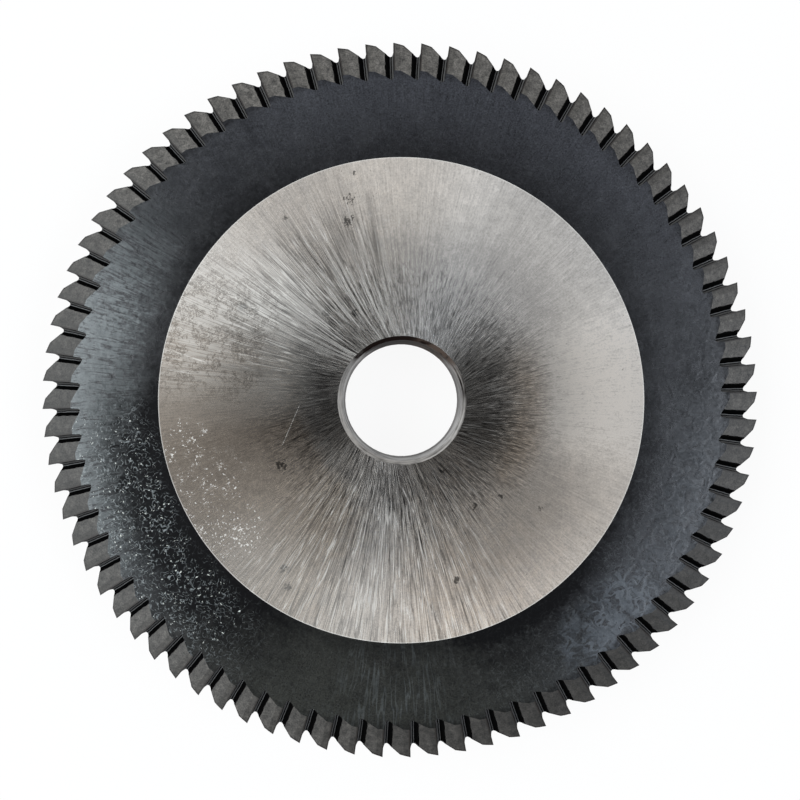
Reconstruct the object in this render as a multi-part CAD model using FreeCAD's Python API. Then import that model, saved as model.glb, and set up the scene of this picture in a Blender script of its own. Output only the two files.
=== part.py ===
import FreeCAD, Part
import math
import os

# Key cutting wheel, one piece of hardened tool steel.
# It lies on its back hub face, so that the face with the side teeth looks up.
# The origin is the centre of the back hub face and the wheel's axis is +Z.
# Lengths are in millimetres and angles in degrees.

# Hub and bore
bore_diameter = 12.7
bore_chamfer = 0.4
hub_face_diameter = 50.8
hub_thickness = 7.25

# Shallow rings between the hub faces and the toothed rim
outer_diameter = 76.2
front_ring_angle = 4.0
back_ring_angle = 4.0

# Toothed rim in section: front flank, narrow edge, steep back flank
front_flank_angle = 15.0
front_flank_width = 3.35
rim_edge_width = 1.6
back_flank_angle = 45.0

# Teeth on the edge: a flat land behind each tip and a round-bottomed gullet ahead of it
tooth_count = 80
first_tooth_angle = 1.39
gullet_depth = 1.45
gullet_floor_radius = 0.42
edge_land_width = 1.17
edge_land_relief = 17.0

# Slots across the front flank, one ahead of each side edge
slot_width = 0.96
slot_depth = 0.55
slot_floor_width = 0.2
slot_face_lean = 17.0
slot_reach_past_flank = 0.75
slot_runout_length = 0.3

# Front flank behind each side edge: a narrow land, then a steeper heel
front_land_width = 0.72
front_land_relief = 1.0
front_heel_relief = 7.0

# Gashes down the back flank, one ahead of each edge there, and the relief behind the edge
back_gash_width = 1.75
back_gash_depth = 1.3
back_relief = 5.0

# Steel left on the turned back flank for the teeth to be ground from
flank_stock = 0.3

# How far a cutting tool's body and the turned blank reach past the finished teeth
tool_overrun = 2.0

# Worked out from the sizes above
outer_radius = outer_diameter / 2
hub_radius = hub_face_diameter / 2
bore_radius = bore_diameter / 2
tooth_pitch = 360.0 / tooth_count

centre = FreeCAD.Vector(0, 0, 0)
axis = FreeCAD.Vector(0, 0, 1)


def slope(angle):
    return math.tan(math.radians(angle))


# Heights of the rim: the front flank starts where the front ring ends
front_flank_radius = outer_radius - front_flank_width
front_flank_top = hub_thickness - (front_flank_radius - hub_radius) * slope(front_ring_angle)
rim_top = front_flank_top - front_flank_width * slope(front_flank_angle)
rim_bottom = rim_top - rim_edge_width

# The back flank falls from the rim's edge until it meets the back ring
back_flank_run = (
    (rim_bottom - (outer_radius - hub_radius) * slope(back_ring_angle))
    / (slope(back_flank_angle) - slope(back_ring_angle))
)
back_flank_radius = outer_radius - back_flank_run
back_flank_foot = rim_bottom - back_flank_run * slope(back_flank_angle)


def wheel_blank():
    """The turned blank, its half section spun about the axis. The teeth are cut from it."""
    blank_radius = outer_radius + tool_overrun
    front_fall = (blank_radius - hub_radius) * slope(front_ring_angle)
    stock_radius = back_flank_radius + flank_stock
    stock_foot = back_flank_foot + flank_stock * slope(back_ring_angle)
    back_rise = (blank_radius - stock_radius) * slope(back_flank_angle)
    corners = [
        (bore_radius, bore_chamfer),
        (bore_radius + bore_chamfer, 0),
        (hub_radius, 0),
        (stock_radius, stock_foot),
        (blank_radius, stock_foot + back_rise),
        (blank_radius, hub_thickness - front_fall),
        (hub_radius, hub_thickness),
        (bore_radius + bore_chamfer, hub_thickness),
        (bore_radius, hub_thickness - bore_chamfer),
    ]
    points = [FreeCAD.Vector(radius, 0, height) for radius, height in corners]
    section = Part.Face(Part.makePolygon(points + points[:1]))
    return section.revolve(centre, axis, 360)


def pulled(place, corners, path):
    """A cutting tool: the section with these corners pulled along a path.

    `place` turns a distance ahead of the tooth's edge and a height into a point in space.
    """
    points = [place(ahead, up) for ahead, up in corners]
    return Part.Face(Part.makePolygon(points + points[:1])).extrude(path)


def around_teeth(shapes):
    """Copies of the shapes made for a tooth on +X, turned to every tooth."""
    copies = []
    for tooth in range(tooth_count):
        for shape in shapes:
            copy = shape.copy()
            copy.rotate(centre, axis, first_tooth_angle + tooth * tooth_pitch)
            copies.append(copy)
    return copies


def toothed_prism():
    """Straight prism whose outline is the ring of edge teeth and gullets."""
    def place(ahead, up):
        return FreeCAD.Vector(outer_radius + up, ahead, 0)

    # The land falls back from the next tip to the corner where the gullet's back starts
    relief = math.radians(edge_land_relief)
    step = FreeCAD.Rotation(axis, tooth_pitch)
    next_tip = step.multVec(place(0, 0))
    land_corner = step.multVec(
        place(-edge_land_width * math.cos(relief), -edge_land_width * math.sin(relief))
    )

    # The floor's circle touches the cutting face and the straight back
    middle = place(gullet_floor_radius, gullet_floor_radius - gullet_depth)
    reach = land_corner - middle
    back_angle = math.atan2(reach.x, reach.y) + math.asin(gullet_floor_radius / reach.Length)

    def on_floor(angle):
        return middle + FreeCAD.Vector(math.sin(angle), math.cos(angle), 0) * gullet_floor_radius

    face_end = -math.pi
    back_start = back_angle - math.pi / 2
    tooth = [
        Part.LineSegment(place(0, 0), on_floor(face_end)).toShape(),
        Part.Arc(
            on_floor(face_end), on_floor((face_end + back_start) / 2), on_floor(back_start)
        ).toShape(),
        Part.LineSegment(on_floor(back_start), land_corner).toShape(),
        Part.LineSegment(land_corner, next_tip).toShape(),
    ]
    outline = Part.Face(Part.Wire(around_teeth(tooth)))
    outline.translate(axis * -tool_overrun)
    return outline.extrude(axis * (hub_thickness + 2 * tool_overrun))


def front_slot_tools():
    """Slot ahead of a side edge, and its short rise out of the steel at the inner end."""
    inner_radius = front_flank_radius - slot_reach_past_flank
    inner_top = front_flank_top + slot_reach_past_flank * slope(front_flank_angle)
    face_foot = slot_depth * slope(slot_face_lean)
    corners = [
        (0, 0),
        (face_foot, -slot_depth),
        (face_foot + slot_floor_width, -slot_depth),
        (slot_width, 0),
        (slot_width, tool_overrun),
        (0, tool_overrun),
    ]

    def place(ahead, up):
        return FreeCAD.Vector(inner_radius, ahead, inner_top + up)

    length = outer_radius + tool_overrun - inner_radius
    outward = FreeCAD.Vector(length, 0, -length * slope(front_flank_angle))
    rise = FreeCAD.Vector(-slot_runout_length, 0, slot_depth)
    return [pulled(place, corners, outward), pulled(place, corners, rise)]


def front_relief_tool():
    """Lowers a side tooth behind its edge: the land a little, the heel more.

    The tool starts in the slot ahead of the edge and ends in the slot behind the tooth,
    where there is no steel left to cut.
    """
    start_radius = front_flank_radius - front_flank_width
    start_top = front_flank_top + front_flank_width * slope(front_flank_angle)
    end = math.radians(tooth_pitch) * front_flank_radius - slot_width / 2
    land_drop = front_land_width * slope(front_land_relief)
    heel_drop = land_drop + (end - front_land_width) * slope(front_heel_relief)
    lead = slot_floor_width / 2
    corners = [
        (lead, lead * slope(front_land_relief)),
        (-front_land_width, -land_drop),
        (-end, -heel_drop),
        (-end, tool_overrun),
        (lead, tool_overrun),
    ]

    def place(ahead, up):
        return FreeCAD.Vector(start_radius, ahead, start_top + up)

    length = outer_radius + tool_overrun - start_radius
    return pulled(place, corners, FreeCAD.Vector(length, 0, -length * slope(front_flank_angle)))


def back_flank_tools():
    """Gash ahead of an edge on the steep back flank, and the relief behind the edge."""
    tilt = math.radians(back_flank_angle)
    inward = FreeCAD.Vector(-math.cos(tilt), 0, -math.sin(tilt))
    out_of_steel = FreeCAD.Vector(math.sin(tilt), 0, -math.cos(tilt))
    start = FreeCAD.Vector(outer_radius, 0, rim_bottom) - inward * tool_overrun
    path = inward * ((rim_bottom + back_gash_depth) / math.sin(tilt) + 2 * tool_overrun)
    gash = [
        (0, 0),
        (0, -back_gash_depth),
        (back_gash_width, 0),
        (back_gash_width, tool_overrun),
        (0, tool_overrun),
    ]
    lead = back_gash_width / 4
    end = math.radians(tooth_pitch) * back_flank_radius - 2 * lead
    relief = [
        (lead, lead * slope(back_relief)),
        (-end, -end * slope(back_relief)),
        (-end, tool_overrun),
        (lead, tool_overrun),
    ]

    def place(ahead, up):
        return start + FreeCAD.Vector(0, ahead, 0) + out_of_steel * up

    return [pulled(place, gash, path), pulled(place, relief, path)]


def cutting_wheel():
    toothed = wheel_blank().common(toothed_prism())
    tools = front_slot_tools() + [front_relief_tool()] + back_flank_tools()
    for tool in tools:
        toothed = toothed.cut(around_teeth([tool]))
    return toothed


os.makedirs("parts", exist_ok=True)
wheel = cutting_wheel()
print("solids", len(wheel.Solids), "valid", wheel.isValid(), "volume", round(wheel.Volume, 2))
wheel.exportStep("parts/cutting_wheel.step")
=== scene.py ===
import bpy
import math
import numpy as np
from mathutils import Matrix, Vector


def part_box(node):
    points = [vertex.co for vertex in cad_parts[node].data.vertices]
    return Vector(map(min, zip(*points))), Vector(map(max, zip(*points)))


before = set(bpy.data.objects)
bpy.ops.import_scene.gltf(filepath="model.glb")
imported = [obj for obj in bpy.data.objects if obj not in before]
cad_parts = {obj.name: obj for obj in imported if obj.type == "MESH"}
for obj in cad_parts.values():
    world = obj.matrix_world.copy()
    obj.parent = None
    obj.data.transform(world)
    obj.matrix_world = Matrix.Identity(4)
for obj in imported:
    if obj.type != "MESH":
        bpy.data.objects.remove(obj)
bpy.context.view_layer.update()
print("frame loaded:", ", ".join(sorted(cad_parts)))

mm = 0.001


# Shader maths

class Field:
    # a value or colour that changes over a surface: one output socket of a node tree
    def __init__(self, bench, socket):
        self.bench = bench
        self.socket = socket

    def __add__(self, other):
        return self.bench.math("ADD", self, other)

    def __radd__(self, other):
        return self.bench.math("ADD", other, self)

    def __sub__(self, other):
        return self.bench.math("SUBTRACT", self, other)

    def __rsub__(self, other):
        return self.bench.math("SUBTRACT", other, self)

    def __mul__(self, other):
        return self.bench.math("MULTIPLY", self, other)

    def __rmul__(self, other):
        return self.bench.math("MULTIPLY", other, self)

    def __truediv__(self, other):
        return self.bench.math("DIVIDE", self, other)

    def __rtruediv__(self, other):
        return self.bench.math("DIVIDE", other, self)

    def __gt__(self, other):
        return self.bench.math("GREATER_THAN", self, other)

    def __lt__(self, other):
        return self.bench.math("LESS_THAN", self, other)


class Bench:
    # the node tree that a material or the world is put together on
    def __init__(self, tree):
        self.tree = tree
        tree.nodes.clear()

    # one node: its settings are made first, then its sockets get values or links
    def add(self, kind, settings=None, sockets=None, output=0):
        node = self.tree.nodes.new(kind)
        for name, value in (settings or {}).items():
            setattr(node, name, value)
        for name, value in (sockets or {}).items():
            if isinstance(value, Field):
                self.tree.links.new(value.socket, node.inputs[name])
            else:
                node.inputs[name].default_value = value
        return Field(self, node.outputs[output]) if len(node.outputs) else None

    def math(self, operation, *values):
        return self.add("ShaderNodeMath", {"operation": operation}, dict(enumerate(values)))

    def lesser(self, a, b):
        return self.math("MINIMUM", a, b)

    def greater(self, a, b):
        return self.math("MAXIMUM", a, b)

    # 0 below low, 1 above high, a soft step between; low may be the larger one
    def step(self, value, low, high):
        return self.add(
            "ShaderNodeMapRange", {"interpolation_type": "SMOOTHSTEP"},
            {"Value": value, "From Min": low, "From Max": high, "To Min": 0.0, "To Max": 1.0},
        )

    # 1 at the middle of a band, falling softly to 0 at its half width
    def band(self, value, middle, halfWidth):
        return self.step(self.math("ABSOLUTE", value - middle), halfWidth, 0.0)

    # 1 where a turn in radians points in a direction in degrees, falling softly to 0 at its half width
    def towards(self, turn, middle, halfWidth):
        nearness = self.math("COSINE", turn - math.radians(middle))
        return self.step(nearness, math.cos(math.radians(halfWidth)), 1.0)

    def vector(self, x, y, z):
        return self.add("ShaderNodeCombineXYZ", None, {"X": x, "Y": y, "Z": z})

    def noise(self, vector, scale, detail, roughness, distortion=0.0):
        return self.add(
            "ShaderNodeTexNoise", None,
            {"Vector": vector, "Scale": scale, "Detail": detail, "Roughness": roughness,
             "Distortion": distortion},
        )

    # colour a where the mask is 0, colour b where it is 1
    def blend(self, mask, a, b):
        a, b = ((*c, 1.0) if isinstance(c, tuple) else c for c in (a, b))
        return self.add(
            "ShaderNodeMix", {"data_type": "RGBA"}, {0: mask, 6: a, 7: b}, output=2,
        )

    # a colour made lighter or darker by a value
    def shade(self, colour, value):
        gain = self.vector(value, value, value)
        return self.add(
            "ShaderNodeMix", {"data_type": "RGBA", "blend_type": "MULTIPLY", "clamp_result": False},
            {0: 1.0, 6: (*colour, 1.0) if isinstance(colour, tuple) else colour, 7: gain}, output=2,
        )

    def principled(self, sockets):
        return self.add("ShaderNodeBsdfPrincipled", None, sockets)

    def mixShaders(self, mask, a, b):
        return self.add("ShaderNodeMixShader", None, {0: mask, 1: a, 2: b})


# The wheel's sizes, in mm and degrees

wheel = {
    "node": "cutting_wheel",
    "hubRadius": 25.4,
    "ringSlope": 4.0,
    "rimMiddle": 5.0,          # height that parts the front half from the back half
    "toothCount": 80,
    "firstTooth": 1.39,        # degrees from +X to the first cutting face
    "landWidth": 0.72,
    "tipRadius": 38.1,
    "tipLand": (1.119, 17.0),  # width behind the tip, and its slope
    "backSlope": 39.6,         # of the gullet's straight back
    "slotWidth": 0.93,         # from the cutting face to where the slot's black ends
    "leftSlotWidth": 0.79,     # the same at the left
    "seam": 0.004,             # play where two surfaces meet
}
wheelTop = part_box(wheel["node"])[1].z / mm
ringFall = math.tan(math.radians(wheel["ringSlope"]))
toothPitch = math.radians(360 / wheel["toothCount"])
firstTooth = math.radians(wheel["firstTooth"])


class Places:
    # where a point lies on the wheel: in mm, in radians about the bore, and beside its tooth
    def __init__(self, bench):
        self.bench = bench
        metres = bench.add("ShaderNodeTexCoord", output="Object")
        self.spot = bench.add(
            "ShaderNodeVectorMath", {"operation": "SCALE"}, {"Vector": metres, "Scale": 1 / mm},
        )
        split = bench.add("ShaderNodeSeparateXYZ", None, {"Vector": self.spot})
        self.x, self.y, self.z = (Field(bench, out) for out in split.socket.node.outputs)
        self.radius = bench.math("SQRT", self.x * self.x + self.y * self.y)
        self.turn = bench.math("ARCTAN2", self.y, self.x)
        # the angle past the last cutting face, and from it the distances in the tooth's own frame
        past = bench.math("WRAP", self.turn - firstTooth, toothPitch, 0.0)
        self.ahead = self.radius * bench.math("SINE", past)
        self.behind = self.radius * bench.math("SINE", toothPitch - past)
        self.depth = wheel["tipRadius"] - self.radius * bench.math("COSINE", toothPitch - past)

    # where grinding lines run: around sets how many there are in a radian, along how short they are,
    # swirl how far they lean near the bore
    def lines(self, around, along, swirl):
        bench = self.bench
        turn = self.turn + swirl / (self.radius * self.radius) if swirl else self.turn
        return bench.vector(
            bench.math("COSINE", turn) * around,
            bench.math("SINE", turn) * around,
            self.radius * along,
        )

    # 0 at the first distance from the axis, 1 at the second
    def out(self, first, second):
        return self.bench.step(self.radius, first, second)

    # 1 on a circle, falling softly to 0 at its half width
    def circle(self, radius, halfWidth):
        return self.bench.band(self.radius, radius, halfWidth)

    # full in a compass direction, falling softly to 0 at its half width, both in degrees
    def sector(self, middle, halfWidth, strength=1.0):
        return self.bench.towards(self.turn, middle, halfWidth) * strength

    # the part of a sector that lies out from one distance to another
    def patch(self, middle, halfWidth, first, second, strength=1.0):
        return self.sector(middle, halfWidth) * self.out(first, second) * strength

    # several sectors, or patches, added up
    def sectors(self, rows):
        return sum(self.sector(*row) for row in rows)

    def patches(self, rows):
        return sum(self.patch(*row) for row in rows)

    # how far inside the tooth's outline, in mm: from its cutting face, its land and its back
    def insideTooth(self):
        width, landSlope = wheel["tipLand"]
        land, back = math.radians(landSlope), math.radians(wheel["backSlope"])
        corner = width * math.tan(land)
        fromLand = self.depth * math.cos(land) - self.behind * math.sin(land)
        fromBack = (self.depth - corner) * math.cos(back) - (self.behind - width) * math.sin(back)
        return self.bench.lesser(self.behind, self.bench.lesser(fromLand, fromBack))

    # 1 at a place given in mm, falling softly to 0 at the reach
    def near(self, x, y, reach, strength=1.0):
        bench = self.bench
        gap = bench.math("SQRT", (self.x - x) * (self.x - x) + (self.y - y) * (self.y - y))
        return bench.step(gap, reach, 0.0) * strength

    # 1 along a straight scratch between two places in mm, fading at its sides and ends
    def scratch(self, x0, y0, x1, y1, halfWidth):
        bench = self.bench
        length = math.hypot(x1 - x0, y1 - y0)
        runX, runY = (x1 - x0) / length, (y1 - y0) / length
        across = (self.x - x0) * runY - (self.y - y0) * runX
        along = (self.x - x0) * runX + (self.y - y0) * runY
        ends = bench.band(along, length / 2, length / 2 + halfWidth)
        return bench.band(across, 0.0, halfWidth) * bench.step(ends, 0.0, 0.3)


class Noises:
    # a piece's noises by name. Its "lines" run along the grinding: how many in a radian, how short
    # they are, detail, roughness and distortion. Its "clouds" have no direction: how many in a mm,
    # detail, roughness and distortion.
    def __init__(self, bench, at, piece):
        for name, (around, along, *rest) in piece.get("lines", {}).items():
            place = at.lines(around, along, piece.get("swirl", 0.0))
            setattr(self, name, bench.noise(place, 1.0, *rest))
        for name, row in piece["clouds"].items():
            setattr(self, name, bench.noise(at.spot, *row))

    # the named noises made to swing around 0, each by its own amount, and added up
    def swing(self, amounts):
        return sum((getattr(self, name) - 0.5) * amount for name, amount in amounts.items())


# a base, and a share of a value on top of it
def raised(value, base, share):
    return base + value * share


# Hub faces: bright steel, ground from the bore outwards, with stains, pits and scratches, and painted
# highlights and painted shade where the ground face reflects more or less light.
# A sector is a direction and half width in degrees, a patch adds the two distances from the axis, in mm,
# where it starts and is full, and a further number is the strength.

hubSteel = {
    "colour": (0.89, 0.895, 0.90),
    "brown": (0.75, 0.675, 0.60),
    "roughness": 0.22,
    "anisotropy": 0.8,
    # the bright mix: torn steel and scratches, and the painted highlights
    "tornAndHighlights": {"Base Color": (0.77, 0.745, 0.70, 1.0), "Roughness": 0.6, "Specular IOR Level": 0.3},
    "bump": {"Strength": 0.5, "Distance": 0.00002},
    "bumpHeight": 0.8,
    "swirl": 7.0,              # how hard the lines curl beside the bore
    "lines": {
        "hairs": (170.0, 0.22, 1.0, 0.5),
        "dashes": (120.0, 1.3, 2.0, 0.6),
        "streaks": (75.0, 0.28, 2.0, 0.6),
        "scribes": (60.0, 0.17, 1.0, 0.5),
        "tufts": (62.0, 0.9, 2.0, 0.6, 0.6),
        "rays": (24.0, 0.07, 3.0, 0.65),
    },
    "clouds": {
        "mottle": (0.7, 5.0, 0.65),
        "grain": (5.0, 2.0, 0.6),
        "ragged": (2.2, 2.0, 0.6, 1.2),
        "specks": (2.4, 3.0, 0.6),
        "spots": (4.2, 1.0, 0.5, 0.5),
    },
    # the lines are deep in two fans, which also carry painted highlights, and in a collar around the bore
    "upperFan": (133, 45, 24.5, 18.0),
    "lowerFan": (263, 50),
    "collar": (17.0, 9.0),
    "collarFray": {"streaks": 8.0},      # how far each noise shifts the collar's edge, in mm
    "depth": (0.28, 0.75, 0.6),          # everywhere, in the fans and in the collar
    "calmLeft": (194, 30, 0.6),
    "calmRight": (5, 50, 12.0, 15.0, 0.35),
    "lineTone": {"hairs": 1.5, "streaks": 0.5, "rays": 0.5},
    "dashTone": (0.4, 1.6),              # everywhere, and more in the collar
    "tuftTone": 2.4,
    "evenTone": {"mottle": 0.55, "grain": 0.6},
    "darkScribe": (0.45, 0.06),          # levels of the noise: middle and half width
    "brightScribe": (0.55, 0.05),
    "scribeShade": (0.35, 0.30),         # in the fans and in the collar
    "scribeShine": (0.40, 0.12),
    "shineStart": (8.0, 15.0),
    "shineGaps": (0.40, 0.56),           # levels of the noise between which the marks fade in
    # darker places: painted shade in the wedges, around the bore, in a belt and further out, with a
    # little painted light to the right; and a dull field
    "shadedWedges": ((2, 50, 1.45), (184, 45, 1.3), (302, 62, 0.75)),
    "wedgeReach": (16.5, 9.0),
    "wedgeFray": {"dashes": 9.0},
    "wedgeShade": (0.28, 0.3),           # a base, and the rays' share on top of it
    "boreShade": (13.5, 8.0),
    "boreShadeGap": (112, 75),
    "boreShadeStrength": 0.32,
    "beltSector": (312, 38, 0.36),
    "belt": (19.0, 8.0),
    "outside": (14.0, 18.0),
    "outsideShade": ((46, 27, 0.22), (118, 20, 0.19), (2, 25, -0.12)),
    "dullField": (184, 24, 10.0, 15.0, 0.14),
    "dullFieldEdge": (3.9, 3.1),         # in mm up from the axis
    "dullFieldFray": {"mottle": 1.6},
    # painted highlights: brighter places where the ground face reflects the light, broken by the grinding
    # lines
    "highlightCollar": (122, 34, 20.0, 9.0, 0.26),
    "highlightCollarGaps": (0.48, 0.64),
    "highlightLeft": (158, 36, 8.0, 14.0),
    "highlightLeftLevel": (0.05, 0.14),       # a base, and the noise's share on top of it
    "highlightField": (158, 24, 16.0, 24.0),
    "highlightFieldGaps": (0.38, 0.62),
    "highlightFieldLevel": (0.06, 0.25),
    "highlightFieldSector": (141, 18),
    "highlightFieldBelt": (18.0, 7.0),
    "highlightBelow": (243, 34, 15.0, 23.0, 0.14),
    # x, y and reach of the pits
    "pits": (
        (-5.4, 21.0, 1.2), (-5.6, 18.7, 1.2), (-8.0, 9.1, 0.9), (-4.9, 9.1, 0.9), (-12.6, -6.8, 1.4),
        (-12.4, -17.5, 0.9), (-11.9, -19.4, 0.9), (5.6, -18.8, 0.8), (10.4, -10.0, 0.6),
        (7.6, -11.0, 0.7), (4.1, -7.4, 0.6), (14.5, -11.3, 0.5), (-12.2, 19.0, 0.7),
        (-4.9, 23.6, 0.6), (-16.7, 9.7, 1.1),
    ),
    "pitFray": {"ragged": 2.6},
    "pitEdge": (0.62, 0.85),
    "pitLimit": (0.05, 0.3),
    "pitShade": 0.75,
    "speckEdge": (0.70, 0.75),
    "speckShade": 0.45,
    "cracks": (160, 28, 13.0, 17.0),
    "crackLine": (0.5, 0.13),
    "crackGaps": (0.45, 0.53),
    "crackShade": 0.45,
    "crackTorn": 0.70,
    # x, y and reach of the flecks, and how thickly they lie
    "flecks": (
        (-22.4, -4.2, 3.0, 0.9), (-17.2, -14.0, 4.0, 1.1), (-20.0, -9.5, 7.0, 0.3),
        (-23.9, -5.6, 1.2, 0.9), (-20.6, -13.5, 1.3, 0.9),
    ),
    "fleckLimit": (0.0, 0.25),
    "crumbLift": 0.08,
    "crumbFray": {"mottle": 0.3},
    "crumbEdge": (0.70, 0.76),
    "crumbTorn": 0.75,
    "curlLine": (0.5, 0.05),
    "curlBreaks": (0.52, 0.60),
    "curlGaps": (0.50, 0.58),
    "curlTorn": 0.8,
    # from x, y to x, y, and half the width
    "scratches": (
        (-24.9, 3.3, -21.5, 2.7, 0.1), (-24.0, 5.2, -19.5, 3.6, 0.1), (-0.2, -8.7, 2.0, -13.4, 0.1),
        (-7.0, -13.5, -3.8, -6.9, 0.1), (2.0, -13.0, 5.5, -23.0, 0.1),
        (-10.4, 0.2, -12.9, -5.6, 0.05),
    ),
    "scratchBreaks": (0.35, 0.60),
    "scratchTorn": 0.35,
    "smears": (
        (-3.7, 22.2, -2.5, 14.5, 0.55), (-2.9, 18.0, -2.2, 12.5, 0.55),
        (-19.5, 3.6, -13.0, 2.9, 0.7),
    ),
    "smearShade": (0.03, 0.44),
    # a painted highlight along the very edge: its width and strength
    "edgeWidth": 0.14,
    "edgeHighlight": 0.5,
    # brown haze
    "brownPatches": ((200, 60, 9.0, 13.0, 1.5),),
    "brownSectors": ((255, 75, 0.7), (115, 50, 0.55), (308, 50, 0.6)),
    "brownRightSector": (352, 40),
    "brownRightBelt": (13.0, 3.5),
    "brownEven": (190, 35, 0.35),
    "brownLevel": (0.3, 0.8),
}


def hubShader(bench, at):
    steel = hubSteel
    noise = Noises(bench, at, steel)
    # the lines are deep in two fans, which also carry painted highlights, and in a collar around the
    # bore, and faint elsewhere
    fans = at.patch(*steel["upperFan"]) + at.sector(*steel["lowerFan"])
    collar = bench.step(at.radius + noise.swing(steel["collarFray"]), *steel["collar"])
    calm = 1 - at.sector(*steel["calmLeft"]) - at.patch(*steel["calmRight"])
    everywhere, inFans, inCollar = steel["depth"]
    depth = (everywhere + fans * inFans + collar * inCollar) * calm
    tone = 1.0 + noise.swing(steel["lineTone"]) * depth + noise.swing(steel["evenTone"])
    dashTone = raised(collar, *steel["dashTone"])
    tone = tone + noise.swing({"dashes": dashTone, "tufts": collar * steel["tuftTone"]})
    inFans, inCollar = steel["scribeShade"]
    scribeShade = fans * inFans + collar * inCollar
    tone = tone - bench.band(noise.scribes, *steel["darkScribe"]) * scribeShade
    # painted highlights: bright scribe lines in the fans and the collar, and in a patch of the collar at
    # the upper left
    inFans, inCollar = steel["scribeShine"]
    shine = fans * at.out(*steel["shineStart"]) * inFans + collar * inCollar
    shine = shine * calm * bench.step(noise.streaks, *steel["shineGaps"])
    tornAndHighlights = bench.band(noise.scribes, *steel["brightScribe"]) * shine
    tornAndHighlights = tornAndHighlights + at.patch(*steel["highlightCollar"]) * bench.step(noise.scribes, *steel["highlightCollarGaps"])
    # painted shade: darker wedges on both sides of the bore and below it, where the ground face reflects
    # little light, lighter at the upper left
    shadedWedges = bench.step(at.radius + noise.swing(steel["wedgeFray"]), *steel["wedgeReach"])
    shadedWedges = at.sectors(steel["shadedWedges"]) * shadedWedges
    tone = tone * (1 - shadedWedges * raised(noise.rays, *steel["wedgeShade"]))
    # painted shade around the bore except at the upper left, in a belt at the lower right and in sectors
    # further out, with a little painted light to the right
    boreShade = at.out(*steel["boreShade"]) * (1 - at.sector(*steel["boreShadeGap"]))
    tone = tone * (1 - boreShade * steel["boreShadeStrength"])
    tone = tone * (1 - at.sector(*steel["beltSector"]) * at.circle(*steel["belt"]))
    tone = tone * (1 - at.out(*steel["outside"]) * at.sectors(steel["outsideShade"]))
    # painted highlights at the upper left and below the bore, broken by the grinding lines
    tornAndHighlights = tornAndHighlights + at.patch(*steel["highlightLeft"]) * raised(noise.streaks, *steel["highlightLeftLevel"])
    field = at.sector(*steel["highlightFieldSector"]) * at.circle(*steel["highlightFieldBelt"])
    field = at.patch(*steel["highlightField"]) + field
    fieldLines = bench.step(noise.hairs, *steel["highlightFieldGaps"])
    tornAndHighlights = tornAndHighlights + field * raised(fieldLines, *steel["highlightFieldLevel"])
    tornAndHighlights = tornAndHighlights + at.patch(*steel["highlightBelow"])
    # a dull field starts at a line left of the bore
    below = bench.step(at.y + noise.swing(steel["dullFieldFray"]), *steel["dullFieldEdge"])
    tone = tone * (1 - below * at.patch(*steel["dullField"]))
    # scattered specks, and the larger ragged pits by name
    pits = sum(at.near(*row) for row in steel["pits"])
    pitMask = bench.step(pits + noise.swing(steel["pitFray"]), *steel["pitEdge"])
    pitMask = pitMask * bench.step(pits, *steel["pitLimit"])
    specks = bench.step(noise.specks, *steel["speckEdge"])
    tone = tone * (1 - steel["pitShade"] * pitMask) * (1 - steel["speckShade"] * specks)
    # short dark cracks in the light field at the upper left
    cracks = bench.band(noise.ragged, *steel["crackLine"]) * bench.step(noise.mottle, *steel["crackGaps"])
    cracks = cracks * at.patch(*steel["cracks"])
    tone = tone * (1 - cracks * steel["crackShade"])
    tornAndHighlights = tornAndHighlights * (1 - cracks * steel["crackTorn"])
    # bright flecks of torn steel, lower left
    flecks = sum(at.near(*row) for row in steel["flecks"])
    crumbs = noise.spots + flecks * steel["crumbLift"] + noise.swing(steel["crumbFray"])
    crumbs = bench.step(crumbs, *steel["crumbEdge"]) * steel["crumbTorn"]
    curls = bench.band(noise.ragged, *steel["curlLine"]) * bench.step(noise.dashes, *steel["curlBreaks"])
    curls = curls * bench.step(noise.mottle, *steel["curlGaps"]) * steel["curlTorn"]
    fleckMask = bench.greater(crumbs, curls) * bench.step(flecks, *steel["fleckLimit"])
    tornAndHighlights = bench.greater(tornAndHighlights, fleckMask)
    # long scratches catch the light, smears are dull
    broken = bench.step(noise.dashes, *steel["scratchBreaks"])
    for row in steel["scratches"]:
        tornAndHighlights = tornAndHighlights + at.scratch(*row) * broken * steel["scratchTorn"]
    for row in steel["smears"]:
        tone = tone * (1 - at.scratch(*row) * raised(noise.hairs, *steel["smearShade"]))
    # a painted highlight along the very edge
    edge = at.out(wheel["hubRadius"] - steel["edgeWidth"], wheel["hubRadius"])
    tornAndHighlights = tornAndHighlights + edge * steel["edgeHighlight"]
    # brown haze, left and below, and in patches right of the bore
    haze = at.patches(steel["brownPatches"]) + at.sectors(steel["brownSectors"])
    haze = haze + at.sector(*steel["brownRightSector"]) * at.circle(*steel["brownRightBelt"])
    patchy = raised(noise.mottle, *steel["brownLevel"]) + at.sector(*steel["brownEven"])
    haze = bench.lesser(haze * patchy, 1.0)
    colour = bench.shade(bench.blend(haze, steel["colour"], steel["brown"]), tone)
    height = (noise.hairs + noise.rays) * steel["bumpHeight"] * calm
    bump = bench.add("ShaderNodeBump", None, {**steel["bump"], "Height": height})
    ground = bench.principled({
        "Base Color": colour, "Metallic": 1.0, "Roughness": steel["roughness"],
        "Anisotropic": steel["anisotropy"], "Normal": bump,
    })
    return bench.mixShaders(bench.lesser(tornAndHighlights, 1.0), ground, bench.principled(steel["tornAndHighlights"]))


# Rings: blued black, still showing the grinding under it, with grey haze and curly marks, painted
# reflections in the hazes, painted glints and painted shade.
# Sectors, patches and noises are given as for the hub.

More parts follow.
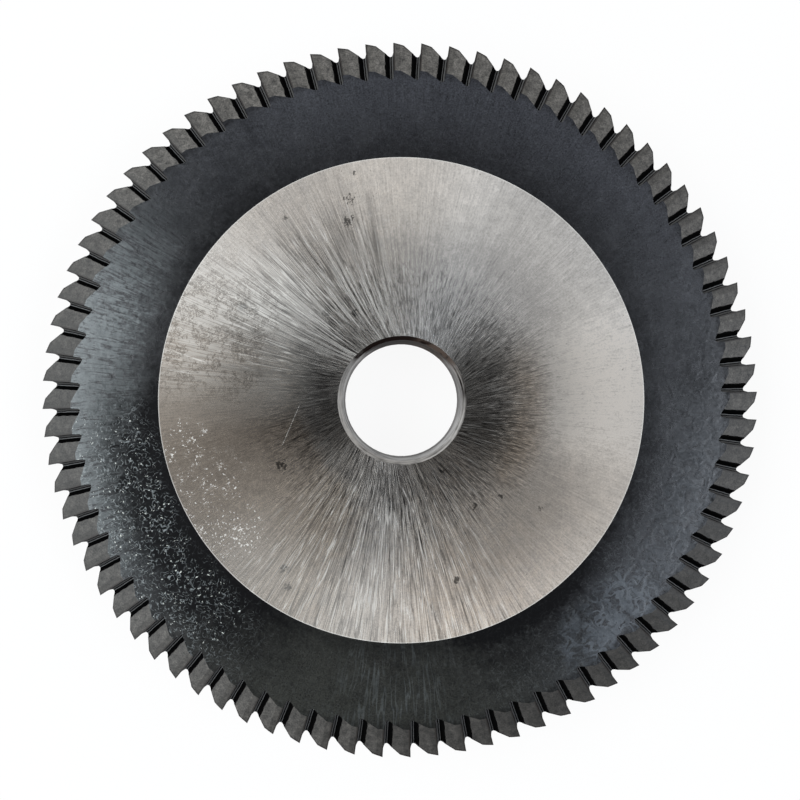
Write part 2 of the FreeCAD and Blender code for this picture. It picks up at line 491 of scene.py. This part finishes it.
ringOxide = {
    "colour": (0.0160, 0.0165, 0.0195),
    "olive": (0.0205, 0.0210, 0.0175),
    "oliveSector": (264, 55),
    "roughness": 0.25,
    "anisotropy": 0.6,
    "haze": (0.142, 0.158, 0.162),
    "blueHaze": (0.070, 0.079, 0.091),
    "curl": (0.20, 0.22, 0.225),
    "glint": (0.60, 0.62, 0.58),
    # a dark, dull mix for the painted shade and the fine dull spots
    "dullAndShade": {"Base Color": (0.004, 0.004, 0.0045, 1.0), "Roughness": 0.5, "Specular IOR Level": 0.05},
    "bump": {"Strength": 0.6, "Distance": 0.00003},
    "fineBump": 0.25,
    "glossTexture": {"cloud": 0.2},
    "lines": {
        "fine": (210.0, 0.30, 2.0, 0.6),
        "scuffs": (150.0, 0.55, 2.0, 0.6),
        "scored": (55.0, 0.22, 1.0, 0.5),
    },
    "clouds": {
        "cloud": (0.30, 4.0, 0.6),
        "mottle": (1.1, 4.0, 0.65, 0.5),
        "patches": (2.4, 2.0, 0.6, 0.4),
        "wrinkle": (0.9, 1.5, 0.55, 0.8),
        "worms": (2.5, 0.0, 0.5, 0.4),
        "breaks": (1.9, 1.0, 0.5),
        "sparks": (4.2, 1.0, 0.5, 0.5),
        "grain": (6.0, 2.0, 0.6),
    },
    "cloudGaps": (0.36, 0.56),           # levels of the cloud between which marks fade in
    # grey haze: worn oxide and a painted reflection of the light at the left
    "greySector": (179, 44),
    "greyStart": (26.0, 32.0),
    "greyFray": {"cloud": 8.0, "patches": 4.0},
    "greyLevel": 0.74,
    "greyCore": (188, 28, 0.24),
    "greyTexture": {"scuffs": 3.4, "patches": 3.0, "mottle": 1.6},
    "darkScore": (0.47, 0.05),
    "lightScore": (0.56, 0.04),
    "scoreStrengths": (0.9, 0.5),        # of the dark and the light ones
    "scoreGaps": (0.40, 0.52),
    "lightLines": (269, 15, 0.26),
    "lightLine": (0.56, 0.07),
    # blue haze: oxide and a painted reflection of the light at the right
    "blueSpots": ((23.2, -21.6, 5.0, 1.5), (19.6, -24.8, 4.5, 1.5)),
    "bluePatch": (329, 37, 27.0, 32.0, 0.36),
    "blueLevel": (0.25, 0.9),            # a base, and the wrinkles' share on top of it
    "blueTexture": {"mottle": 3.0, "scuffs": 0.8},
    "wrinkleLine": (0.5, 0.13),
    "wrinkleEdge": (0.1, 0.7),
    # curly marks and glints
    "sparkleSector": (208, 36),
    "sparkleStart": (24.8, 27.5),
    "sparkleFray": {"cloud": 5.0},
    "curlLine": (0.5, 0.07),
    "curlBreaks": (0.37, 0.50),
    "curlGaps": (0.34, 0.62),
    "curlLevel": (0.25, 0.8),
    "curlsEverywhere": 0.05,
    "curlsElsewhere": (315, 40, 0.10),
    "glintFray": {"breaks": 0.3},
    "glintEdge": (0.70, 0.76),
    "glintLimit": (0.14, 0.34),
    "tone": {"fine": 0.8, "scuffs": 0.7, "cloud": 0.6, "grain": 2.6},
    "darkestTone": 0.1,
    # painted light: lighter towards the teeth at the top and right
    "lightStart": (26.0, 34.0),
    "lightSector": (80, 85, 0.9),
    "lightLevels": (0.8, 0.25),          # everywhere, and more towards the teeth
    # painted shade: darker, duller places beside the hub, just below the teeth and at the lower left;
    # duller in fine spots everywhere
    "shadeBesideHub": (28.5, 25.4),
    "shadeBelowTeeth": (33.8, 34.5),
    "shadeStrengths": (0.38, 0.35),       # of the inner and the outer strip
    "shadeBelowTeethGap": (180, 60),
    "shadePatches": (
        (209, 46, 36.5, 29.0, 1.0), (318, 42, 28.5, 25.4, 0.4), (301, 24, 34.0, 28.0, 0.45),
        (354, 34, 27.0, 31.0, 0.25),
    ),
    "shadeSectors": ((284, 36, 0.22), (135, 28, 0.35)),
    "dullTexture": {"mottle": 0.8, "scuffs": 0.4, "patches": 0.9},
    "dullest": 0.98,
}


def ringShader(bench, at):
    oxide = ringOxide
    noise = Noises(bench, at, oxide)
    gaps = bench.step(noise.cloud, *oxide["cloudGaps"])
    # grey haze at the left, worn oxide and a painted reflection of the light, thickest beside the teeth,
    # with radial scratches through it
    left = bench.step(at.radius + noise.swing(oxide["greyFray"]), *oxide["greyStart"])
    left = at.sector(*oxide["greySector"]) * left
    texture = oxide["greyLevel"] + at.sector(*oxide["greyCore"]) + noise.swing(oxide["greyTexture"])
    darkStrength, lightStrength = oxide["scoreStrengths"]
    score = bench.band(noise.scored, *oxide["darkScore"]) * darkStrength
    score = score - bench.band(noise.scored, *oxide["lightScore"]) * lightStrength
    score = score * bench.step(noise.cloud, *oxide["scoreGaps"])
    grey = bench.greater(left * (texture - score), 0.0)
    # a few light lines below the hub
    grey = grey + at.sector(*oxide["lightLines"]) * bench.band(noise.scored, *oxide["lightLine"]) * gaps
    # blue haze with wrinkles at the lower right, oxide and a painted reflection of the light
    ridges = bench.step(bench.band(noise.wrinkle, *oxide["wrinkleLine"]), *oxide["wrinkleEdge"])
    right = sum(at.near(*row) for row in oxide["blueSpots"]) * gaps + at.patch(*oxide["bluePatch"])
    wrinkled = raised(ridges, *oxide["blueLevel"]) + noise.swing(oxide["blueTexture"])
    blue = bench.greater(right * wrinkled, 0.0)
    # short curly marks and glints, lower left
    sparkle = bench.step(at.radius + noise.swing(oxide["sparkleFray"]), *oxide["sparkleStart"])
    sparkle = at.sector(*oxide["sparkleSector"]) * sparkle
    curls = bench.band(noise.worms, *oxide["curlLine"]) * bench.step(noise.breaks, *oxide["curlBreaks"])
    strength = raised(bench.step(noise.mottle, *oxide["curlGaps"]), *oxide["curlLevel"]) * sparkle
    strength = strength + oxide["curlsEverywhere"] + at.sector(*oxide["curlsElsewhere"])
    curlMask = curls * strength
    glints = bench.step(noise.sparks + noise.swing(oxide["glintFray"]), *oxide["glintEdge"])
    glints = glints * bench.step(sparkle * noise.mottle, *oxide["glintLimit"])
    # painted light: lighter towards the teeth, most of all at the top and right
    everywhere, nearTeeth = oxide["lightLevels"]
    nearTeeth = at.out(*oxide["lightStart"]) * (nearTeeth + at.sector(*oxide["lightSector"]))
    tone = (1.0 + noise.swing(oxide["tone"])) * (everywhere + nearTeeth)
    colour = bench.blend(at.sector(*oxide["oliveSector"]), oxide["colour"], oxide["olive"])
    colour = bench.shade(colour, bench.greater(tone, oxide["darkestTone"]))
    colour = bench.blend(bench.lesser(grey, 1.0), colour, oxide["haze"])
    colour = bench.blend(bench.lesser(blue, 1.0), colour, oxide["blueHaze"])
    colour = bench.blend(bench.lesser(curlMask, 1.0), colour, oxide["curl"])
    colour = bench.blend(glints, colour, oxide["glint"])
    height = noise.fine * oxide["fineBump"] + noise.wrinkle
    bump = bench.add("ShaderNodeBump", None, {**oxide["bump"], "Height": height})
    glossy = bench.principled({
        "Base Color": colour, "Roughness": oxide["roughness"] + noise.swing(oxide["glossTexture"]),
        "Anisotropic": oxide["anisotropy"], "Normal": bump,
    })
    # painted shade: darker and duller beside the hub and just below the teeth, most of all at the lower
    # left; duller in fine spots everywhere
    innerStrength, outerStrength = oxide["shadeStrengths"]
    outer = at.out(*oxide["shadeBelowTeeth"]) * (1 - at.sector(*oxide["shadeBelowTeethGap"]))
    dullnessAndShade = at.out(*oxide["shadeBesideHub"]) * innerStrength + outer * outerStrength
    dullnessAndShade = dullnessAndShade + at.patches(oxide["shadePatches"]) + at.sectors(oxide["shadeSectors"])
    dullnessAndShade = dullnessAndShade + noise.swing(oxide["dullTexture"])
    dullnessAndShade = bench.lesser(bench.greater(dullnessAndShade, 0.0), oxide["dullest"])
    marks = bench.lesser(bench.greater(curlMask, glints), 1.0)
    return bench.mixShaders(dullnessAndShade * (1 - marks), glossy, bench.principled(oxide["dullAndShade"]))


# Teeth: fine ground, dull grey over the oxide, dark along every edge, lighter at the top and darker at
# the bottom and left by painted light and shade, with black slots that hold painted shade and a painted
# highlight

toothSteel = {
    "land": (0.050, 0.046, 0.041),
    "heel": (0.066, 0.061, 0.055),
    "heelBlend": 0.05,         # mm over which the land turns into the heel
    "edge": (0.010, 0.007, 0.005),
    "edgeReach": (0.20, 0.09),
    "roughness": 0.55,
    "clouds": {
        "grain": (6.0, 3.0, 0.6),
        "cloud": (1.5, 3.0, 0.65),
        "marks": (1.4, 2.0, 0.5, 1.0),
    },
    "tone": {"grain": 2.2, "cloud": 2.6},
    "markLine": (0.5, 0.03),
    "markGaps": (0.5, 0.6),
    "markTone": 0.7,
    # painted light and shade on the teeth: a level, and sectors that lighten the top and darken the
    # bottom and left
    "paintedSideLight": 0.82,
    "paintedSideLightSectors": ((98, 75, 0.46), (308, 62, -0.36), (180, 50, -0.20)),
    # the slot: black for its oxide and the painted shade of its back wall, grey for the leaning face, a
    # light line along the floor as a painted highlight
    "slot": {"Roughness": 0.6, "Specular IOR Level": 0.02},
    "slotBlack": (0.0008, 0.0008, 0.0009),
    "slotFace": (0.095, 0.093, 0.092),
    "slotLine": (0.15, 0.15, 0.15),
    "faceStripe": (0.14, 0.12),   # middle and half width of the lighter stripes in the slot
    "lineStripe": (0.37, 0.07),
    "stripeFray": {"cloud": 0.1},
    "stripeEdge": (0.1, 0.6),
    "slotLeft": (180, 75),
    "slotFray": {"cloud": 0.35},
}


def toothShader(bench, at):
    steel = toothSteel
    noise = Noises(bench, at, steel)
    marks = bench.band(noise.marks, *steel["markLine"]) * bench.step(noise.cloud, *steel["markGaps"])
    # painted light and shade: the teeth lighter at the top, darker at the bottom and left
    paintedSideLight = steel["paintedSideLight"] + at.sectors(steel["paintedSideLightSectors"])
    landEnd, blend = wheel["landWidth"], steel["heelBlend"]
    onHeel = bench.step(at.behind, landEnd - blend, landEnd + blend)
    colour = bench.blend(onHeel, steel["land"], steel["heel"])
    tone = 1.0 + noise.swing(steel["tone"]) + marks * steel["markTone"]
    onFront = at.z > wheel["rimMiddle"]
    outline = bench.step(at.insideTooth(), *steel["edgeReach"]) * onFront
    colour = bench.blend(outline, bench.shade(colour, tone * paintedSideLight), steel["edge"])
    facets = bench.principled({"Base Color": colour, "Roughness": steel["roughness"]})

    # the slot: a dark leaning face, a light line along its floor that is a painted highlight, and a black
    # back wall of oxide and painted shade, narrower at the left
    def stripe(name):
        place = at.ahead + noise.swing(steel["stripeFray"])
        return bench.step(bench.band(place, *steel[name]), *steel["stripeEdge"])

    slotColour = bench.blend(stripe("faceStripe"), steel["slotBlack"], steel["slotFace"])
    slotColour = bench.blend(stripe("lineStripe"), slotColour, steel["slotLine"])
    slot = bench.principled({"Base Color": slotColour, **steel["slot"]})
    narrowing = at.sector(*steel["slotLeft"]) * (wheel["slotWidth"] - wheel["leftSlotWidth"])
    blackEnd = wheel["slotWidth"] - narrowing + noise.swing(steel["slotFray"])
    return bench.mixShaders((at.ahead < blackEnd) * onFront, facets, slot)


# Bore and its chamfers: smooth ground, with painted shade: a brown-black crescent along the top and a
# dark line along the far edge

boreSteel = {
    "colour": (0.36, 0.355, 0.35),
    "roughness": 0.35,
    "dullAndShade": {"Roughness": 0.6, "Specular IOR Level": 0.02},
    # near black, for the painted shade
    "oxide": (0.010, 0.006, 0.005),
    "brown": (0.075, 0.055, 0.045),
    "clouds": {"smear": (0.8, 3.0, 0.6)},
    "rings": (0.3, 0.55, 6.5),    # how many in a mm across, along the bore and outwards
    "ringNoise": (1.0, 2.0, 0.6),
    "toneLevel": 0.62,
    "tone": {"rings": 4.0, "smear": 1.2},
    "bottomShade": (4.2, 2.2),    # mm above the back face where the dark line along the far edge fades
    "chamferFoot": (6.8, 6.9),
    # painted light: lighter at the lower right, and on the chamfer at the bottom and left
    "lightSector": (325, 45, 0.35),
    "chamferLight": ((270, 80, 0.55), (175, 60, 0.8)),
    # painted shade: the crescent, dark at the right and along the far edge
    "crescent": (84, 74),
    "crescentFade": 0.12,         # towards the back face
    "crescentFray": {"smear": 0.9, "rings": 0.6},
    "crescentEdge": (0.18, 0.82),
    "bottomDark": 0.72,
    "rightDark": (18, 45, 0.50),
    "brownBelow": (88, 50, 0.3),
    "brownRight": (48, 38),
    "brownGaps": (0.40, 0.55),
    "streakLevel": 0.36,
    "streaks": {"rings": 3.0},
    "streakGap": (320, 45, 0.22),
    "chamferGap": 0.45,
}


def boreShader(bench, at):
    steel = boreSteel
    noise = Noises(bench, at, steel)
    across, deep, outwards = steel["rings"]
    place = bench.vector(at.x * across, at.y * across, at.z * deep + at.radius * outwards)
    noise.rings = bench.noise(place, *steel["ringNoise"])
    chamfer = bench.step(at.z, *steel["chamferFoot"])
    bottom = bench.step(at.z, *steel["bottomShade"])
    # painted light: lighter towards the lower right, and on the chamfer at the bottom and left
    tone = steel["toneLevel"] + noise.swing(steel["tone"]) + at.sector(*steel["lightSector"])
    tone = tone + chamfer * at.sectors(steel["chamferLight"])
    clean = bench.principled({
        "Base Color": bench.shade(steel["colour"], tone), "Metallic": 1.0,
        "Roughness": steel["roughness"],
    })
    # painted shade: a dark crescent along the top, deepest under its middle, with a dark line along the
    # far edge, dark at the right, and dark grinding streaks
    low = 1 - at.z / wheelTop
    crescent = at.sector(*steel["crescent"]) - low * steel["crescentFade"]
    crescent = crescent + noise.swing(steel["crescentFray"])
    dark = bench.step(crescent, *steel["crescentEdge"])
    dark = bench.greater(dark, bottom * steel["bottomDark"])
    dark = bench.greater(dark, at.sector(*steel["rightDark"]))
    streaks = steel["streakLevel"] + noise.swing(steel["streaks"])
    streaks = streaks - chamfer * steel["chamferGap"] - at.sector(*steel["streakGap"])
    dark = bench.greater(dark, streaks)
    brown = bottom * at.sector(*steel["brownBelow"])
    brown = brown + at.sector(*steel["brownRight"]) * bench.step(noise.smear, *steel["brownGaps"])
    dullColour = bench.blend(bench.lesser(brown, 1.0), steel["oxide"], steel["brown"])
    dullAndShade = bench.principled({"Base Color": dullColour, **steel["dullAndShade"]})
    return bench.mixShaders(bench.lesser(bench.greater(dark, 0.0), 1.0), clean, dullAndShade)


def wheelMaterial():
    material = bpy.data.materials.new("groundAndBlackened")
    material.use_nodes = True
    bench = Bench(material.node_tree)
    at = Places(bench)
    seam = wheel["seam"]
    onFront = at.z > wheel["rimMiddle"]
    ringBack = (at.radius - wheel["hubRadius"]) * ringFall
    onRing = onFront * (at.z > wheelTop - ringBack - seam) + (at.z < ringBack + seam)
    onHub = at.radius < wheel["hubRadius"]
    onFace = bench.math("ABSOLUTE", at.z - wheelTop / 2) > wheelTop / 2 - seam
    rim = bench.mixShaders(onRing * (1 - onHub), toothShader(bench, at), ringShader(bench, at))
    hub = bench.mixShaders(onFace, boreShader(bench, at), hubShader(bench, at))
    bench.add("ShaderNodeOutputMaterial", None, {"Surface": bench.mixShaders(onHub, rim, hub)})
    return material


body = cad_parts[wheel["node"]]
body.data.materials.clear()
body.data.materials.append(wheelMaterial())
print("wheel finished")


# Camera: close above the front hub face, in pixels of the 800 x 800 photograph and mm

view = {
    "focalPixels": 739.8,
    "imagePixels": 800,
    "sensor": 36.0,
    "height": 77.3,            # above the hub face
    "leanRight": 0.72,         # degrees that the wheel's axis leans to the right of the view
    "leanDown": 0.08,
    "offRight": -0.225,        # mm from the bore's axis
    "offUp": 0.035,
    "clipStart": 5.0,
}


def addCamera():
    leanRight, leanDown = math.radians(view["leanRight"]), math.radians(view["leanDown"])
    back = Vector((-math.sin(leanRight), math.sin(leanDown), 1.0)).normalized()
    right = Vector((0.0, 1.0, 0.0)).cross(back).normalized()
    up = back.cross(right)
    lens = bpy.data.cameras.new("viewCamera")
    lens.sensor_width = view["sensor"]
    lens.lens = view["focalPixels"] / view["imagePixels"] * view["sensor"]
    lens.clip_start = view["clipStart"] * mm
    camera = bpy.data.objects.new("viewCamera", lens)
    hub = Vector((0.0, 0.0, wheelTop * mm))
    place = hub + (back * view["height"] + right * view["offRight"] + up * view["offUp"]) * mm
    camera.matrix_world = Matrix.Translation(place) @ Matrix((right, up, back)).transposed().to_4x4()
    bpy.context.scene.collection.objects.link(camera)
    bpy.context.scene.camera = camera


addCamera()
print("camera placed")


# Floor: pale, and white where nothing shades it

floorSettings = {
    "halfSide": 3.0,
    "height": -0.00001,        # just clear of the back hub face
    "colour": (0.85, 0.85, 0.85),
    "whiteShare": 0.92,
}


def addFloor():
    # a flat square: the corners of the unit square times its half side
    corners = np.array([(-1, -1, 0), (1, -1, 0), (1, 1, 0), (-1, 1, 0)], float)
    corners = corners * floorSettings["halfSide"]
    mesh = bpy.data.meshes.new("floor")
    mesh.from_pydata(corners.tolist(), [], [(0, 1, 2, 3)])
    material = bpy.data.materials.new("paleFloor")
    material.use_nodes = True
    bench = Bench(material.node_tree)
    matt = bench.add("ShaderNodeBsdfDiffuse", None, {"Color": (*floorSettings["colour"], 1.0)})
    white = bench.add("ShaderNodeEmission", None, {"Color": (1.0, 1.0, 1.0, 1.0), "Strength": 1.0})
    path = bench.add("ShaderNodeLightPath").socket.node
    seen = sum(Field(bench, path.outputs[name])
               for name in ("Is Camera Ray", "Is Glossy Ray", "Is Transmission Ray"))
    mask = bench.lesser(seen, 1.0) * floorSettings["whiteShare"]
    bench.add("ShaderNodeOutputMaterial", None, {"Surface": bench.mixShaders(mask, matt, white)})
    mesh.materials.append(material)
    floor = bpy.data.objects.new("floor", mesh)
    floor.location.z = floorSettings["height"]
    bpy.context.scene.collection.objects.link(floor)


addFloor()
print("floor laid")


# Soft studio light: a soft box on each side, and a pale ceiling that is dark straight above,
# where the camera is. Lamps are placed by compass direction and angle from straight up, in degrees,
# and so are their sizes.

lamps = {
    "left": {
        "turn": 179, "tilt": 45, "wide": 71, "tall": 28, "radiance": 4.7, "colour": (0.94, 1.0, 1.03),
    },
    "right": {
        "turn": 348, "tilt": 44, "wide": 38, "tall": 19, "radiance": 5.6, "colour": (0.92, 1.0, 1.10),
    },
}
lampDistance = 0.8

sky = {
    "holeRadius": 14.0,        # degrees from straight up that are dark
    "holeSoftness": 0.18,      # share of that radius over which it fades
    "halo": (0.62, 0.585, 0.54),
    "ceiling": (0.21, 0.225, 0.25),
    "ceilingStart": (19.0, 27.0),
    "horizon": (1.0, 0.98, 0.95),
    "horizonStart": (55.0, 65.0),
    "dimSide": (217.0, 40.0),  # the ceiling is dark towards this side
    "lowSide": (300.0, 75.0),  # and the horizon is lower towards this one
    "lowShade": 0.65,
}


def addLamp(name, lamp):
    light = bpy.data.lights.new(name, "AREA")
    light.shape = "RECTANGLE"
    light.size, light.size_y = (
        2 * lampDistance * math.tan(math.radians(lamp[side] / 2)) for side in ("wide", "tall")
    )
    light.color = lamp["colour"]
    light.energy = lamp["radiance"] * math.pi * light.size * light.size_y
    turn, tilt = math.radians(lamp["turn"]), math.radians(lamp["tilt"])
    away = Vector((math.sin(tilt) * math.cos(turn), math.sin(tilt) * math.sin(turn), math.cos(tilt)))
    across = Vector((-math.sin(turn), math.cos(turn), 0.0))
    axes = Matrix((across, away.cross(across), away)).transposed()
    thing = bpy.data.objects.new(name, light)
    thing.matrix_world = Matrix.Translation(away * lampDistance) @ axes.to_4x4()
    bpy.context.scene.collection.objects.link(thing)


for lampName, lampSettings in lamps.items():
    addLamp(lampName, lampSettings)


def addSky():
    world = bpy.data.worlds.new("sky")
    bpy.context.scene.world = world
    world.use_nodes = True
    bench = Bench(world.node_tree)
    split = bench.add("ShaderNodeSeparateXYZ", None, {"Vector": bench.add("ShaderNodeTexCoord")})
    x, y, z = (Field(bench, out) for out in split.socket.node.outputs)
    tilt = bench.math("ARCCOSINE", z) * (180 / math.pi)
    turn = bench.math("ARCTAN2", y, x)
    soft = sky["holeSoftness"]
    opening = bench.step(tilt, sky["holeRadius"] * (1 - soft), sky["holeRadius"] * (1 + soft))
    lit = 1 - bench.towards(turn, *sky["dimSide"])
    colour = bench.blend(bench.step(tilt, *sky["ceilingStart"]), sky["halo"], sky["ceiling"])
    colour = bench.shade(colour, opening * lit)
    low = bench.towards(turn, *sky["lowSide"])
    horizon = bench.shade(sky["horizon"], 1 - low * sky["lowShade"])
    colour = bench.blend(bench.step(tilt, *sky["horizonStart"]), colour, horizon)
    light = bench.add("ShaderNodeBackground", None, {"Color": colour, "Strength": 1.0})
    bench.add("ShaderNodeOutputWorld", None, {"Surface": light})


addSky()
bpy.context.scene.view_settings.view_transform = "Standard"
print("stage set")
